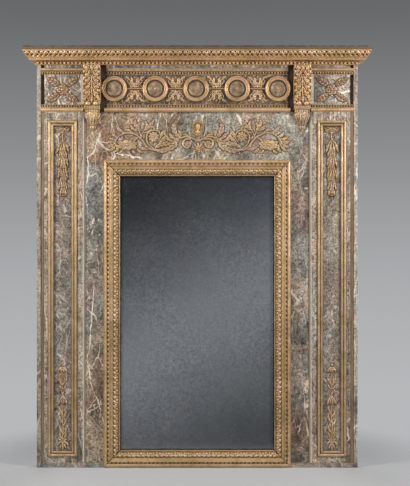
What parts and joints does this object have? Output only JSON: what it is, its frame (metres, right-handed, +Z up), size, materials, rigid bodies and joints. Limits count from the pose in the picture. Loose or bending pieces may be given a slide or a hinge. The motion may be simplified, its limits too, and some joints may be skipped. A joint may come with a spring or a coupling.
{
  "type": "trumeau mirror",
  "caption": "Tall panelled wall mirror: marbled boards, pilasters, ring-chain frieze with consoles, gilt cornice and a carved gilt frame round a foxed plate.",
  "frame": {"origin": "bottom centre of the wall face, on the back of the carcass", "axes": "+Z up, +Y into the wall, +X to the right seen from the front; the front faces -Y"},
  "size_m": [1.5612, 0.1286, 1.89],
  "materials": {
    "marble_paint": "matt oil paint marbled in grey, mauve and cream over gesso",
    "umber_paint": "dark umber distemper",
    "gilt": "worn water gilding over red bole",
    "raw_pine": "old unpainted pine, sawn and planed",
    "hardwood": "oiled beech",
    "mirror": "old tin-mercury silvering, foxed",
    "iron": "dark wrought iron, light rust"
  },
  "bodies": {
    "root": {"carcass_stile_left": "raw_pine", "carcass_stile_right": "raw_pine", "carcass_rail_top": "raw_pine", "carcass_rail_bottom": "raw_pine", "carcass_mullion_left": "raw_pine", "carcass_mullion_right": "raw_pine", "carcass_cross_rail": "raw_pine", "carcass_pegs": "hardwood", "side_board_left": "marble_paint", "side_board_right": "marble_paint", "field_board_top": "marble_paint", "field_board_left": "marble_paint", "field_board_right": "marble_paint", "field_board_bottom": "marble_paint", "pilaster_left": "marble_paint", "pilaster_right": "marble_paint", "pilaster_panels": "marble_paint", "plinth_strips": "marble_paint", "frieze_board": "umber_paint", "frieze_panels": "marble_paint", "frieze_marble_strips": "marble_paint", "frieze_bead_rows": "gilt", "frieze_gilt_bands": "gilt", "frieze_ring_chain": "gilt", "frieze_rosettes": "marble_paint", "frieze_palmettes": "gilt", "corner_rosettes": "gilt", "console_left": "gilt", "console_right": "gilt", "console_pendants": "gilt", "pilaster_moulding_left": "gilt", "pilaster_moulding_right": "gilt", "husk_drops": "gilt", "laurel_stems": "gilt", "crest_medallion": "gilt", "crest_scroll_left": "gilt", "crest_scroll_right": "gilt", "mirror_frame_top": "gilt", "mirror_frame_bottom": "gilt", "mirror_frame_left": "gilt", "mirror_frame_right": "gilt", "mirror_plate": "mirror", "mirror_backboard": "raw_pine", "frame_screws": "iron", "turn_button_screws": "iron", "hanger_plates": "iron", "hanger_screws": "iron", "cornice_front": "gilt", "cornice_return_left": "gilt", "cornice_return_right": "gilt", "cornice_bead_moulding": "gilt", "cornice_top_board": "umber_paint", "cornice_back_rail": "raw_pine", "cornice_blocks": "raw_pine"},
    "hanger_ring_left": {"hanger_ring_left": "iron"},
    "hanger_ring_right": {"hanger_ring_right": "iron"},
    "turn_button_1": {"turn_button_1": "hardwood"},
    "turn_button_2": {"turn_button_2": "hardwood"},
    "turn_button_3": {"turn_button_3": "hardwood"},
    "turn_button_4": {"turn_button_4": "hardwood"}
  },
  "joints": [
    {"name": "turn_button_1_pivot", "type": "hinge", "parent": "root", "child": "turn_button_1", "pos_m": [-0.381, -0.0297, 0.33], "axis": [0, 1, 0], "continuous": true},
    {"name": "turn_button_2_pivot", "type": "hinge", "parent": "root", "child": "turn_button_2", "pos_m": [-0.381, -0.0297, 1.05], "axis": [0, 1, 0], "continuous": true},
    {"name": "turn_button_3_pivot", "type": "hinge", "parent": "root", "child": "turn_button_3", "pos_m": [0.381, -0.0297, 0.33], "axis": [0, 1, 0], "continuous": true},
    {"name": "turn_button_4_pivot", "type": "hinge", "parent": "root", "child": "turn_button_4", "pos_m": [0.381, -0.0297, 1.05], "axis": [0, 1, 0], "continuous": true},
    {"name": "hanger_ring_left_swing", "type": "hinge", "parent": "root", "child": "hanger_ring_left", "pos_m": [-0.47, -0.0067, 1.64], "axis": [1, 0, 0], "range_deg": [0, 170]},
    {"name": "hanger_ring_right_swing", "type": "hinge", "parent": "root", "child": "hanger_ring_right", "pos_m": [0.47, -0.0067, 1.64], "axis": [1, 0, 0], "range_deg": [0, 170]}
  ]
}
